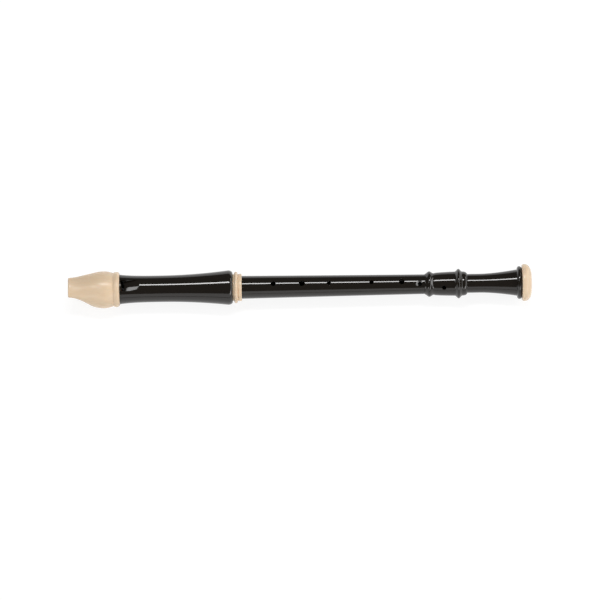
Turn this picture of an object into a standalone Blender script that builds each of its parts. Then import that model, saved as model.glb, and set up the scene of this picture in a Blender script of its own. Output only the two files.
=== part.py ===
"""A tenor recorder in three joints, lying level with its finger holes up.

The instrument lies along X, the beak towards -X and the foot towards +X, with +Z up.
A station is the distance from the tip of the beak, measured along the axis of the bore.
The player's right-hand side is at -Y. All sizes are in metres.
"""

import math

import bmesh
import bpy
from mathutils import Matrix, Vector

# Fits
FIT_GAP = 0.0003  # between a pressed or glued piece and its seat
TENON_GAP = 0.0003  # all round a tenon in its socket
SEGMENTS = 36  # flats round every turned piece, one of them straight down

# Lengths of the three joints as they show when the instrument is together
HEAD_LENGTH = 0.2315
MIDDLE_LENGTH = 0.2437
FOOT_LENGTH = 0.1427

# Beak
BEAK_LENGTH = 0.0685
BEAK_TIP_HALF_WIDTH = 0.0137
BEAK_TIP_TOP = 0.0176
BEAK_TIP_UNDERSIDE = 0.0062
BEAK_TIP_ROUNDING = 0.0014
BEAK_CREST_STATION = 0.0470
BEAK_CREST_RADIUS = 0.0248
BEAK_CUT_LENGTH = 0.0330
BEAK_CUT_CURVE = 2.0  # power of the scoop under the lips
BEAK_CUT_BLEND = 0.0060
BEAK_BACK_CURVE = 2.0  # power of the fall from the crest to the bead
BEAK_GROOVE_RADIUS = 0.0222
BEAK_BEAD_LENGTH = 0.0084
BEAK_BEAD_RADIUS = 0.0236
BEAK_END_RADIUS = 0.0202

# Windway, window and ramp
BORE_RADIUS = 0.0120
WINDWAY_WIDTH = 0.0144
WINDWAY_HEIGHT = 0.0014
WINDWAY_DROP = 0.0007  # the floor of the windway lies this far inside the radius of the bore
WINDOW_STATION = 0.0700
WINDOW_LENGTH = 0.0050
WINDOW_WIDTH = 0.0150
RAMP_LENGTH = 0.0205
LABIUM_THICKNESS = 0.0005
RAMP_ARCH_RADIUS = 0.0400
OVERRUN = 0.0010  # how far a cutting shape starts before the edge that it makes

# Head tube
SPIGOT_LENGTH = 0.0195
SPIGOT_RADIUS = 0.0170
NECK_RADIUS = 0.0199
WAIST_STATION = 0.1250
WAIST_RADIUS = 0.0178
SWELL_RADIUS = 0.0232
SWELL_FOOT_RADIUS = 0.0192
SWELL_ROUNDING = 0.0060  # length of the rounded end of the swell, up to the ring
NECK_CURVE = 3.4  # power of the flare from the waist back to the neck
SWELL_CURVE = 1.95  # power of the flare from the waist on to the swell

# Ivory ring round the socket of the head
HEAD_RING_LENGTH = 0.0119
HEAD_RING_START_RADIUS = 0.0179
HEAD_RING_BEAD_OFFSET = 0.0016
HEAD_RING_BEAD_LENGTH = 0.0052
HEAD_RING_CREST_RADIUS = 0.0212
HEAD_RING_GROOVE_RADIUS = 0.0176
HEAD_RING_GROOVE_LENGTH = 0.0007
HEAD_RING_BAND_RADIUS = 0.0184
HEAD_RING_CHAMFER = 0.0007
HEAD_RING_LIP = 0.0018
SLEEVE_WALL = 0.0021

# Middle joint
MIDDLE_TOP_RADIUS = 0.0154
MIDDLE_END_RADIUS = 0.0132
MIDDLE_CURVE = 1.1
MIDDLE_BORE_TOP_RADIUS = 0.0116
MIDDLE_BORE_END_RADIUS = 0.0082
UPPER_TENON_LENGTH = 0.0320
UPPER_TENON_RADIUS = 0.0142
LOWER_TENON_LENGTH = 0.0200
LOWER_TENON_RADIUS = 0.0113
TENON_CHAMFER = 0.0008
GREASE_GROOVES = 3
GREASE_GROOVE_WIDTH = 0.0016
GREASE_GROOVE_DEPTH = 0.0005
GREASE_GROOVE_PITCH = 0.0042

# Foot tube
FOOT_MOUTH_RADIUS = 0.0138
FOOT_BEAD_LENGTH = 0.0124
FOOT_BEAD_RADIUS = 0.0172
BULGE_START_RADIUS = 0.0146
BULGE_END_RADIUS = 0.0163
BULGE_LENGTH = 0.0276
BULGE_CURVE = 0.45
COLLAR_LENGTH = 0.0105
COLLAR_RADIUS = 0.0200
SHOULDER_LENGTH = 0.0008
SHOULDER_RADIUS = 0.0162
SHOULDER_ROUNDING = 0.0056
FOOT_WAIST_OFFSET = 0.0740  # from the mouth of the foot to where it starts to flare
FOOT_WAIST_RADIUS = 0.0127
BELL_RADIUS = 0.0177
BELL_CURVE = 1.65
LAST_BEAD_LENGTH = 0.0070
LAST_BEAD_RADIUS = 0.0222
FOOT_BORE_RADIUS = 0.0072
BELL_BORE_RADIUS = 0.0096
BELL_BORE_LENGTH = 0.0260

# Ivory ring at the end of the foot
FOOT_RING_LENGTH = 0.0127
FOOT_RING_RADIUS = 0.0248
FOOT_RING_START_RADIUS = 0.0236
FOOT_RING_CREST_OFFSET = 0.0040  # from the start of the ring to its widest place
FOOT_RING_FACE_RADIUS = 0.0120
FOOT_RING_LIP = 0.0036
FOOT_SPIGOT_RADIUS = 0.0150

# Holes: distance past the top shoulder of the middle joint, diameter, and turn towards -Y in degrees
FINGER_HOLES = (
    ("finger_hole_1", 0.0420, 0.0065, 0.0),
    ("finger_hole_2", 0.0802, 0.0079, 0.0),
    ("finger_hole_3", 0.1164, 0.0056, 0.0),
    ("finger_hole_4", 0.1731, 0.0056, 0.0),
    ("finger_hole_5", 0.2135, 0.0072, 0.0),
    ("finger_hole_6", 0.2375, 0.0056, 14.0),
)
THUMB_HOLE_OFFSET = 0.0282
THUMB_HOLE_DIAMETER = 0.0075
DISH_RADIUS = 0.0052  # of the dished rim round finger hole 6
DISH_DEPTH = 0.0015
LITTLE_FINGER_OFFSET = 0.0256  # past the mouth of the foot
LITTLE_FINGER_DIAMETER = 0.0060
FOOT_TURN = 37.0  # degrees that the foot is turned towards -Y, for the little finger

# Colours, in linear light
BLACK = (0.012, 0.011, 0.010, 1.0)
IVORY = (0.766, 0.597, 0.423, 1.0)
GLOSS_ROUGHNESS = 0.22

# Stations that follow from the sizes above
HEAD_END = HEAD_LENGTH
MIDDLE_START = HEAD_END + FIT_GAP
MIDDLE_END = MIDDLE_START + MIDDLE_LENGTH
FOOT_START = MIDDLE_END + FIT_GAP
FOOT_END = FOOT_START + FOOT_LENGTH
FLAT_SHARE = math.cos(math.pi / SEGMENTS)  # how near the axis a flat comes, as a share of the radius
AXIS_HEIGHT = max(BEAK_CREST_RADIUS, FOOT_RING_RADIUS) * FLAT_SHARE
OUTSIDE = 2 * max(BEAK_CREST_RADIUS, FOOT_RING_RADIUS)  # well clear of every surface

# Steps of the curves
ROUND_STEPS = 6
CORNER_STEPS = 3
RIDGE_STEPS = 8
CURVE_STEPS = 7
HOLE_SIDES = 20
TIP_STEPS = 3
BEAK_STEPS = 16


def place_x(station):
    """World X of a station: the middle of the whole length is at zero."""
    return station - FOOT_END / 2


def around(radius, gap):
    """Radius of a hole whose flats clear a round piece by the gap, however it is turned."""
    return (radius + gap) / FLAT_SHARE


def mix(a, b, share):
    return a + (b - a) * share


def ease(share):
    """Raised cosine from 0 to 1, level at both ends."""
    return (1 - math.cos(math.pi * share)) / 2


def bead(start, end, foot_radius, end_radius, crest):
    """Half round from start to end that rises to the crest, as (station, radius) points."""
    points = []
    for step in range(ROUND_STEPS + 1):
        turn = math.pi * step / ROUND_STEPS
        station = mix(start, end, (1 - math.cos(turn)) / 2)
        base = mix(foot_radius, end_radius, step / ROUND_STEPS)
        points.append((station, mix(base, crest, math.sin(turn))))
    return points


def ridge(start, end, foot_radius, end_radius, crest):
    """A soft ridge that rises to the crest and falls as a raised cosine, as (station, radius) points."""
    points = []
    for step in range(RIDGE_STEPS + 1):
        share = step / RIDGE_STEPS
        base = mix(foot_radius, end_radius, share)
        points.append((mix(start, end, share), mix(base, crest, ease(2 * share))))
    return points


def flare(start, start_radius, end, end_radius, power):
    """A run that leaves its start level and steepens towards its end, as (station, radius) points."""
    points = []
    for step in range(CURVE_STEPS + 1):
        share = step / CURVE_STEPS
        points.append((mix(start, end, share), mix(start_radius, end_radius, share**power)))
    return points


def quarter_round(start, start_radius, end, end_radius, steps):
    """A convex quarter round that starts level and ends square to the axis."""
    points = []
    for step in range(steps + 1):
        turn = math.pi / 2 * step / steps
        points.append((mix(start, end, math.sin(turn)), mix(end_radius, start_radius, math.cos(turn))))
    return points


def grooved_tenon(free_end, shoulder, radius):
    """Outline of a tenon from its chamfered free end to its shoulder, with the grease grooves."""
    inward = 1 if shoulder > free_end else -1
    points = [(free_end, radius - TENON_CHAMFER), (free_end + inward * TENON_CHAMFER, radius)]
    middle = (free_end + shoulder) / 2
    for index in range(GREASE_GROOVES):
        centre = middle + inward * (index - (GREASE_GROOVES - 1) / 2) * GREASE_GROOVE_PITCH
        near = centre - inward * GREASE_GROOVE_WIDTH / 2
        far = centre + inward * GREASE_GROOVE_WIDTH / 2
        floor = radius - GREASE_GROOVE_DEPTH
        points += [(near, radius), (near, floor), (far, floor), (far, radius)]
    points.append((shoulder, radius))
    return points


def without_repeats(outline):
    """The closed outline with neighbouring points that coincide taken out."""
    kept = []
    for point in outline:
        if not kept or math.dist(point, kept[-1]) > 1e-6:
            kept.append(point)
    if math.dist(kept[0], kept[-1]) <= 1e-6:
        kept.pop()
    return kept


def clear_scene():
    for old in list(bpy.data.objects):
        bpy.data.objects.remove(old, do_unlink=True)


def plastic(name, colour):
    material = bpy.data.materials.new(name)
    material.use_nodes = True
    shader = material.node_tree.nodes["Principled BSDF"]
    shader.inputs["Base Color"].default_value = colour
    shader.inputs["Roughness"].default_value = GLOSS_ROUGHNESS
    shader.inputs["Metallic"].default_value = 0.0
    material.diffuse_color = colour
    return material


def axis_empty(name, station):
    """A frame on the axis of the bore, which carries the pieces of one joint."""
    empty = bpy.data.objects.new(name, None)
    empty.location = (place_x(station), 0, AXIS_HEIGHT)
    empty.empty_display_size = BORE_RADIUS
    bpy.context.scene.collection.objects.link(empty)
    return empty


def add_piece(name, bm, material, axis, turn=0.0):
    """Makes the mesh a named piece on its joint's axis, shaded smooth with its true edges sharp."""
    bmesh.ops.recalc_face_normals(bm, faces=bm.faces)
    mesh = bpy.data.meshes.new(name)
    bm.to_mesh(mesh)
    bm.free()
    mesh.shade_smooth()
    mesh.set_sharp_from_angle(angle=math.radians(30))
    piece = bpy.data.objects.new(name, mesh)
    bpy.context.scene.collection.objects.link(piece)
    piece.parent = axis
    piece.rotation_euler.x = turn
    if material:
        mesh.materials.append(material)
    return piece


def make_helper(piece):
    """Marks a piece as a shape that only cuts or trims others."""
    piece.hide_render = True
    piece.display_type = "WIRE"
    return piece


def boolean(piece, tool, operation="DIFFERENCE"):
    modifier = piece.modifiers.new(f"{operation.lower()}_{tool.name}", "BOOLEAN")
    modifier.operation = operation
    modifier.object = tool
    modifier.solver = "EXACT"


def turned(outline, origin):
    """Spins a closed outline of (station, radius) points round the axis, with a flat straight down."""
    bm = bmesh.new()
    lean = math.pi / SEGMENTS
    ring = []
    for station, radius in without_repeats(outline):
        ring.append(bm.verts.new((station - origin, radius * math.sin(lean), -radius * math.cos(lean))))
    edges = [bm.edges.new((ring[i - 1], ring[i])) for i in range(len(ring))]
    bmesh.ops.spin(
        bm,
        geom=ring + edges,
        cent=(0, 0, 0),
        axis=(1, 0, 0),
        angle=2 * math.pi,
        steps=SEGMENTS,
        use_merge=True,
    )
    return bm


def skin_rings(rings):
    """A closed solid through rings of points, with a face over each end."""
    bm = bmesh.new()
    rows = [[bm.verts.new(point) for point in ring] for ring in rings]
    for before, after in zip(rows, rows[1:]):
        for i in range(len(before)):
            bm.faces.new((before[i - 1], before[i], after[i], after[i - 1]))
    bm.faces.new(rows[0])
    bm.faces.new(rows[-1])
    return bm


def beak_section(station):
    """Half width, top and underside of the beak at a station, above the axis of the bore."""
    rise = ease(min(station / BEAK_CREST_STATION, 1))
    side = mix(BEAK_TIP_HALF_WIDTH, BEAK_CREST_RADIUS, rise)
    top = mix(BEAK_TIP_TOP, BEAK_CREST_RADIUS, rise)
    share = station / BEAK_CUT_LENGTH
    cut = mix(BEAK_TIP_UNDERSIDE, -BEAK_CREST_RADIUS, share**BEAK_CUT_CURVE)
    round_underside = -side
    overlap = max(BEAK_CUT_BLEND - abs(cut - round_underside), 0) / BEAK_CUT_BLEND
    underside = max(cut, round_underside) + overlap**2 * BEAK_CUT_BLEND / 4
    return side, top, underside


def beak_rings(end_station):
    """Rings of points of the outside of the beak, from the tip to a station past its bead."""
    insets = []
    for step in range(TIP_STEPS + 1):
        turn = math.pi / 2 * step / TIP_STEPS
        inset = BEAK_TIP_ROUNDING * (1 - math.sin(turn))
        insets.append((BEAK_TIP_ROUNDING * (1 - math.cos(turn)), inset))
    for step in range(1, BEAK_STEPS + 1):
        insets.append((BEAK_CREST_STATION * step / BEAK_STEPS, 0.0))
    shapes = []
    for station, inset in insets:
        side, top, underside = beak_section(station)
        shapes.append((station, side - inset, top - inset, underside + inset))
    bead_start = BEAK_LENGTH - BEAK_BEAD_LENGTH
    back = flare(
        BEAK_CREST_STATION, BEAK_CREST_RADIUS, bead_start, BEAK_GROOVE_RADIUS, BEAK_BACK_CURVE
    )[1:]
    back += bead(bead_start, BEAK_LENGTH, BEAK_GROOVE_RADIUS, BEAK_END_RADIUS, BEAK_BEAD_RADIUS)[1:]
    if end_station > BEAK_LENGTH:
        back.append((end_station, BEAK_END_RADIUS))
    shapes += [(station, radius, radius, -radius) for station, radius in back]
    rings = []
    for station, side, top, underside in shapes:
        centre = (top + underside) / 2
        height = (top - underside) / 2
        ring = []
        for index in range(SEGMENTS):
            angle = 2 * math.pi * (index + 0.5) / SEGMENTS
            ring.append((station - HEAD_END, side * math.sin(angle), centre + height * math.cos(angle)))
        rings.append(ring)
    return rings


def arched_prism(start, end, width, lower, upper, start_radius, end_radius):
    """A bar with an arched floor and roof; lower and upper are its heights at the two ends."""
    rings = []
    for station, floor, roof in ((start, lower[0], upper[0]), (end, lower[1], upper[1])):
        ring = []
        for radius, height, direction in ((start_radius, floor, 1), (end_radius, roof, -1)):
            for step in range(ROUND_STEPS + 1):
                across = direction * mix(-width / 2, width / 2, step / ROUND_STEPS)
                sag = radius - math.sqrt(radius**2 - across**2)
                ring.append((station - HEAD_END, across, height - sag))
        rings.append(ring)
    return skin_rings(rings)


def windway_tool(axis):
    """The slot between the block and the roof, arched round the axis of the bore."""
    floor = BORE_RADIUS - WINDWAY_DROP
    roof = floor + WINDWAY_HEIGHT
    past_tip = -BORE_RADIUS
    into_window = WINDOW_STATION + WINDOW_LENGTH / 2
    bm = arched_prism(past_tip, into_window, WINDWAY_WIDTH, (floor, floor), (roof, roof), floor, roof)
    return make_helper(add_piece("windway_tool", bm, None, axis))


def window_tool(axis):
    """A square-sided well from the outside down into the bore."""
    floor = BORE_RADIUS / 2
    bm = bmesh.new()
    bmesh.ops.create_cube(bm, size=1.0)
    size = Vector((WINDOW_LENGTH, WINDOW_WIDTH, OUTSIDE - floor))
    middle = Vector((WINDOW_STATION + WINDOW_LENGTH / 2 - HEAD_END, 0, (OUTSIDE + floor) / 2))
    place = Matrix.Translation(middle) @ Matrix.Diagonal((*size, 1))
    bmesh.ops.transform(bm, matrix=place, verts=bm.verts)
    return make_helper(add_piece("window_tool", bm, None, axis))


def head_radius(station):
    """Outside radius of the head tube between its neck and its waist."""
    neck = BEAK_LENGTH + FIT_GAP
    share = (WAIST_STATION - station) / (WAIST_STATION - neck)
    return mix(WAIST_RADIUS, NECK_RADIUS, share**NECK_CURVE)


def ramp_tool(axis):
    """The sloping arched channel that runs up from the labium to the outside of the tube."""
    labium = WINDOW_STATION + WINDOW_LENGTH
    edge_height = BORE_RADIUS + LABIUM_THICKNESS
    ramp_end = labium + RAMP_LENGTH
    slope = (head_radius(ramp_end) - edge_height) / RAMP_LENGTH
    start = labium - OVERRUN
    end = ramp_end + RAMP_LENGTH / 2
    lower = (edge_height + slope * (start - labium), edge_height + slope * (end - labium))
    bm = arched_prism(
        start, end, WINDOW_WIDTH, lower, (OUTSIDE, OUTSIDE), RAMP_ARCH_RADIUS, RAMP_ARCH_RADIUS
    )
    return make_helper(add_piece("ramp_tool", bm, None, axis))


def round_bar(radius, start, end, origin):
    """A round bar along the axis between two stations, with a flat straight down."""
    bm = bmesh.new()
    bmesh.ops.create_cone(
        bm, cap_ends=True, segments=SEGMENTS, radius1=radius, radius2=radius, depth=end - start
    )
    half_step = Matrix.Rotation(math.pi / SEGMENTS, 4, "Z")
    quarter = Matrix.Rotation(math.pi / 2, 4, "Y")
    place = Matrix.Translation(((start + end) / 2 - origin, 0, 0))
    bmesh.ops.transform(bm, matrix=place @ quarter @ half_step, verts=bm.verts)
    return bm


def hole_tool(name, axis, offset, diameter, turn, dished=False):
    """A round hole from the bore outwards, at a turn from straight up, dished where asked."""
    radius = diameter / 2
    rings = [(0.0, radius), (OUTSIDE, radius)]
    if dished:
        dish_floor = MIDDLE_END_RADIUS - DISH_DEPTH
        slope = (DISH_RADIUS - radius) / DISH_DEPTH
        rings[1:] = [(dish_floor, radius), (OUTSIDE, radius + slope * (OUTSIDE - dish_floor))]
    loops = []
    for height, ring_radius in rings:
        loop = []
        for index in range(HOLE_SIDES):
            angle = 2 * math.pi * index / HOLE_SIDES
            loop.append((ring_radius * math.cos(angle), ring_radius * math.sin(angle), height))
        loops.append(loop)
    bm = skin_rings(loops)
    lean = Matrix.Rotation(math.radians(turn), 4, "X")
    bmesh.ops.transform(bm, matrix=Matrix.Translation((offset, 0, 0)) @ lean, verts=bm.verts)
    return make_helper(add_piece(name, bm, None, axis))


def make_beak(axis, ivory, windway):
    """The ivory mouthpiece: an outer form cut away under the lips, bored for the block and the tube."""
    beak = add_piece("beak", skin_rings(beak_rings(BEAK_LENGTH)), ivory, axis)
    recess = BEAK_LENGTH - SPIGOT_LENGTH - FIT_GAP
    bore_bar = round_bar(BORE_RADIUS, -BORE_RADIUS, BEAK_LENGTH, HEAD_END)
    seat_bar = round_bar(around(SPIGOT_RADIUS, FIT_GAP), recess, 2 * BEAK_LENGTH, HEAD_END)
    boolean(beak, make_helper(add_piece("beak_bore_tool", bore_bar, None, axis)))
    boolean(beak, make_helper(add_piece("beak_seat_tool", seat_bar, None, axis)))
    boolean(beak, windway)
    return beak


def make_block(axis, ivory, windway):
    """The plug that closes the bore below the windway, cut flush with the underside of the beak."""
    radius = BORE_RADIUS - FIT_GAP / FLAT_SHARE
    block = add_piece("block", round_bar(radius, 0.0, WINDOW_STATION, HEAD_END), ivory, axis)
    beak_form = skin_rings(beak_rings(WINDOW_STATION + WINDOW_LENGTH))
    form = make_helper(add_piece("beak_form_tool", beak_form, None, axis))
    boolean(block, form, "INTERSECT")
    boolean(block, windway)
    return block


def make_head_body(axis, black, windway):
    """The black tube of the head, from its spigot in the beak to its sleeve under the ring."""
    spigot_start = BEAK_LENGTH - SPIGOT_LENGTH
    neck = BEAK_LENGTH + FIT_GAP
    ring_start = HEAD_END - HEAD_RING_LENGTH
    sleeve_start = ring_start - FIT_GAP
    sleeve_end = HEAD_END - HEAD_RING_LIP - FIT_GAP
    swell = sleeve_start - SWELL_ROUNDING
    socket = around(UPPER_TENON_RADIUS, TENON_GAP)
    sleeve = socket + SLEEVE_WALL
    socket_floor = MIDDLE_START - UPPER_TENON_LENGTH - FIT_GAP
    outline = [(spigot_start, SPIGOT_RADIUS), (neck, SPIGOT_RADIUS)]
    for step in range(CURVE_STEPS + 1):
        station = mix(neck, WAIST_STATION, step / CURVE_STEPS)
        outline.append((station, head_radius(station)))
    outline += flare(WAIST_STATION, WAIST_RADIUS, swell, SWELL_RADIUS, SWELL_CURVE)
    outline += quarter_round(swell, SWELL_RADIUS, sleeve_start, SWELL_FOOT_RADIUS, CORNER_STEPS)
    outline += [(sleeve_start, sleeve), (sleeve_end, sleeve), (sleeve_end, socket)]
    outline += [(socket_floor, socket), (socket_floor, BORE_RADIUS), (spigot_start, BORE_RADIUS)]
    head = add_piece("head_body", turned(outline, HEAD_END), black, axis)
    boolean(head, windway)
    boolean(head, window_tool(axis))
    boolean(head, ramp_tool(axis))
    return head


def make_head_ring(axis, ivory):
    """The ivory ring that binds the socket of the head."""
    start = HEAD_END - HEAD_RING_LENGTH
    bead_start = start + HEAD_RING_BEAD_OFFSET
    bead_end = bead_start + HEAD_RING_BEAD_LENGTH
    lip_start = HEAD_END - HEAD_RING_LIP
    socket = around(UPPER_TENON_RADIUS, TENON_GAP)
    seat = around(socket + SLEEVE_WALL, FIT_GAP)
    groove_end = bead_end + HEAD_RING_GROOVE_LENGTH
    band_start = groove_end + HEAD_RING_CHAMFER
    band_end = HEAD_END - HEAD_RING_CHAMFER
    outline = [(start, HEAD_RING_START_RADIUS)]
    outline += bead(
        bead_start, bead_end, HEAD_RING_START_RADIUS, HEAD_RING_GROOVE_RADIUS, HEAD_RING_CREST_RADIUS
    )
    outline += [(groove_end, HEAD_RING_GROOVE_RADIUS), (band_start, HEAD_RING_BAND_RADIUS)]
    outline += [(band_end, HEAD_RING_BAND_RADIUS), (HEAD_END, HEAD_RING_BAND_RADIUS - HEAD_RING_CHAMFER)]
    outline += [(HEAD_END, socket), (lip_start, socket), (lip_start, seat), (start, seat)]
    return add_piece("head_ring", turned(outline, HEAD_END), ivory, axis)


def make_middle_body(axis, black):
    """The long black tube with a tenon at each end, six finger holes and the thumb hole."""
    top = MIDDLE_START - UPPER_TENON_LENGTH
    bottom = MIDDLE_END + LOWER_TENON_LENGTH
    outline = grooved_tenon(bottom, MIDDLE_END, LOWER_TENON_RADIUS)
    outline += flare(MIDDLE_END, MIDDLE_END_RADIUS, MIDDLE_START, MIDDLE_TOP_RADIUS, MIDDLE_CURVE)
    outline += reversed(grooved_tenon(top, MIDDLE_START, UPPER_TENON_RADIUS))
    outline += [(top, MIDDLE_BORE_TOP_RADIUS), (bottom, MIDDLE_BORE_END_RADIUS)]
    middle = add_piece("middle_body", turned(outline, MIDDLE_START), black, axis)
    for name, offset, diameter, turn in FINGER_HOLES:
        dished = name == FINGER_HOLES[-1][0]
        boolean(middle, hole_tool(f"{name}_tool", axis, offset, diameter, turn, dished))
    boolean(middle, hole_tool("thumb_hole_tool", axis, THUMB_HOLE_OFFSET, THUMB_HOLE_DIAMETER, 180.0))
    return middle


def make_foot_body(axis, black):
    """The black tube of the foot, turned so that its hole meets the little finger."""
    bead_end = FOOT_START + FOOT_BEAD_LENGTH
    bulge_end = bead_end + BULGE_LENGTH
    collar_end = bulge_end + COLLAR_LENGTH
    shoulder_end = collar_end + SHOULDER_LENGTH
    waist = FOOT_START + FOOT_WAIST_OFFSET
    ring_start = FOOT_END - FOOT_RING_LENGTH
    last_bead_end = ring_start - FIT_GAP
    bell_end = last_bead_end - LAST_BEAD_LENGTH
    spigot_end = FOOT_END - FOOT_RING_LIP - FIT_GAP
    socket = around(LOWER_TENON_RADIUS, TENON_GAP)
    socket_floor = FOOT_START + LOWER_TENON_LENGTH
    rounding_end = shoulder_end + SHOULDER_ROUNDING
    outline = ridge(FOOT_START, bead_end, FOOT_MOUTH_RADIUS, BULGE_START_RADIUS, FOOT_BEAD_RADIUS)
    outline += flare(bead_end, BULGE_START_RADIUS, bulge_end, BULGE_END_RADIUS, BULGE_CURVE)
    outline += ridge(bulge_end, collar_end, BULGE_END_RADIUS, SHOULDER_RADIUS, COLLAR_RADIUS)
    outline += quarter_round(shoulder_end, SHOULDER_RADIUS, rounding_end, FOOT_WAIST_RADIUS, CORNER_STEPS)
    outline += flare(waist, FOOT_WAIST_RADIUS, bell_end, BELL_RADIUS, BELL_CURVE)
    outline += bead(bell_end, last_bead_end, BELL_RADIUS, BELL_RADIUS, LAST_BEAD_RADIUS)
    outline += [(last_bead_end, FOOT_SPIGOT_RADIUS), (spigot_end, FOOT_SPIGOT_RADIUS)]
    bell_start = FOOT_END - BELL_BORE_LENGTH
    bore_at_end = mix(FOOT_BORE_RADIUS, BELL_BORE_RADIUS, (spigot_end - bell_start) / BELL_BORE_LENGTH)
    outline += [(spigot_end, bore_at_end), (bell_start, FOOT_BORE_RADIUS)]
    outline += [(socket_floor, MIDDLE_BORE_END_RADIUS), (socket_floor, socket), (FOOT_START, socket)]
    foot = add_piece("foot_body", turned(outline, FOOT_START), black, axis, math.radians(FOOT_TURN))
    hole = hole_tool("finger_hole_7_tool", axis, LITTLE_FINGER_OFFSET, LITTLE_FINGER_DIAMETER, FOOT_TURN)
    boolean(foot, hole)
    return foot


def make_foot_ring(axis, ivory):
    """The ivory ring on the end of the foot: a full round edge, a domed end, a flat round the bore."""
    start = FOOT_END - FOOT_RING_LENGTH
    lip_start = FOOT_END - FOOT_RING_LIP
    seat = around(FOOT_SPIGOT_RADIUS, FIT_GAP)
    crest = start + FOOT_RING_CREST_OFFSET
    bore_at_lip = mix(BELL_BORE_RADIUS, FOOT_BORE_RADIUS, FOOT_RING_LIP / BELL_BORE_LENGTH)
    front = quarter_round(crest, FOOT_RING_RADIUS, start, FOOT_RING_START_RADIUS, CORNER_STEPS)
    dome = quarter_round(crest, FOOT_RING_RADIUS, FOOT_END, FOOT_RING_FACE_RADIUS, ROUND_STEPS)
    outline = front[::-1] + dome
    outline += [(FOOT_END, BELL_BORE_RADIUS), (lip_start, bore_at_lip)]
    outline += [(lip_start, seat), (start, seat)]
    return add_piece("foot_ring", turned(outline, FOOT_START), ivory, axis)


def main():
    clear_scene()
    black = plastic("black_gloss", BLACK)
    ivory = plastic("ivory_gloss", IVORY)
    head_axis = axis_empty("head_axis", HEAD_END)
    middle_axis = axis_empty("middle_axis", MIDDLE_START)
    foot_axis = axis_empty("foot_axis", FOOT_START)
    windway = windway_tool(head_axis)
    make_beak(head_axis, ivory, windway)
    make_block(head_axis, ivory, windway)
    make_head_body(head_axis, black, windway)
    make_head_ring(head_axis, ivory)
    make_middle_body(middle_axis, black)
    make_foot_body(foot_axis, black)
    make_foot_ring(foot_axis, ivory)


main()
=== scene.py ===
"""A tenor recorder in gloss black and ivory: the fine surface and finish of every piece, and its studio.

Places along the bore are world X, from the tip of the beak at -X to the foot at +X. A radius is
measured from the axis of the bore. All sizes are in metres.
"""

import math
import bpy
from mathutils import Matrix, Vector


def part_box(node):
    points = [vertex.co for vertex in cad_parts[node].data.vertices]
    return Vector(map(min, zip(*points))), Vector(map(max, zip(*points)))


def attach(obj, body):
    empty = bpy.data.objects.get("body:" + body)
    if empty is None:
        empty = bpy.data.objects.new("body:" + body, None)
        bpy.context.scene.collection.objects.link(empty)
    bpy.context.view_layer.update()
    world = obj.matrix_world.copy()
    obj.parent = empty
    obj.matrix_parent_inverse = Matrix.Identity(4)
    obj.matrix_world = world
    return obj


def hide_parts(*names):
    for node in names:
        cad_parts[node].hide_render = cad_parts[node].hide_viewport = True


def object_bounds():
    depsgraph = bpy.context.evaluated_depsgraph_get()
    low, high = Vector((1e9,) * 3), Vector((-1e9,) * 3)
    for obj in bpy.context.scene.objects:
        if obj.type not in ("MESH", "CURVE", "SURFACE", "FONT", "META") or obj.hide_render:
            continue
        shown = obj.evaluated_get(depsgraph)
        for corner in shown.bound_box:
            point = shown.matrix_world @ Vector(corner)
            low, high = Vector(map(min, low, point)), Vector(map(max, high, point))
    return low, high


bl_info = {
    "name": "Tenor Recorder",
    "version": (1, 0, 0),
    "blender": (4, 5, 0),
    "location": "3D View > Sidebar > Recorder",
    "description": "Builds a tenor recorder with an ivory beak and rings, and a studio to show it in",
    "category": "Add Mesh",
}

import bmesh
import bpy
from bpy.props import FloatProperty, FloatVectorProperty, IntProperty, PointerProperty
from mathutils import Euler, Matrix, Vector
from mathutils.bvhtree import BVHTree
from mathutils.interpolate import poly_3d_calc

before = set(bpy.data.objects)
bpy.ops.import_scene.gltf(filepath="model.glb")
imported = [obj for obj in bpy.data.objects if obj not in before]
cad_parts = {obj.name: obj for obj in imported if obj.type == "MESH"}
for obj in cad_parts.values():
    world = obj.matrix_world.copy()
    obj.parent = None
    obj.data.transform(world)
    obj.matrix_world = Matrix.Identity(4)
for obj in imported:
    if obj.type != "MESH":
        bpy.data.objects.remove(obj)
solid_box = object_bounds()

SOLID_FLATS = 36  # the turned solids have this many flats, and the fine surface lies just inside them
ROUND_SHARE = math.cos(math.pi / SOLID_FLATS)
AXIS_HEIGHT = (solid_box[0][2] + solid_box[1][2]) / 2
GAP = 0.0003  # between neighbouring pieces, as in the solids
SEAM = 0.0001  # the hairline that shows where one piece meets the next
ON_SURFACE = 0.00002  # a point this near to a surface lies on it
SAME_POINT = 0.000001  # points of an outline this near to each other are one
WELD = 0.000002  # vertices of a turned surface this near to each other are merged
SAME_PLANE = 0.999  # cosine of the angle within which a cut face still belongs to its shell
LEAST_CORNER = math.radians(22)  # where an outline turns less than this, it has no corner to ease
SHARP = math.radians(30)  # an edge of a cut mesh that turns more than this is sharp
FULL_TURN = 2 * math.pi
QUARTER_TURN = math.pi / 2
SENSOR_WIDTH = 36.0  # millimetres, as a camera of Blender has it
MIX_COLOURS = (6, 7)  # the inputs of a Mix node that take colours, and its output for a colour
MIXED_COLOUR = 2
WHITE = (1.0, 1.0, 1.0, 1.0)

TIP_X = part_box("beak")[0].x
BEAK_END_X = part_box("beak")[1].x
SPIGOT_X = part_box("head_body")[0].x
HEAD_RING_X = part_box("head_ring")[0].x
HEAD_END_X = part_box("head_ring")[1].x
UPPER_TENON_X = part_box("middle_body")[0].x
LOWER_TENON_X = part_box("middle_body")[1].x
FOOT_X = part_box("foot_body")[0].x
FOOT_RING_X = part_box("foot_ring")[0].x
FOOT_END_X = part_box("foot_ring")[1].x
MIDDLE_X = HEAD_END_X + SEAM
MIDDLE_END_X = FOOT_X - SEAM

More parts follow.
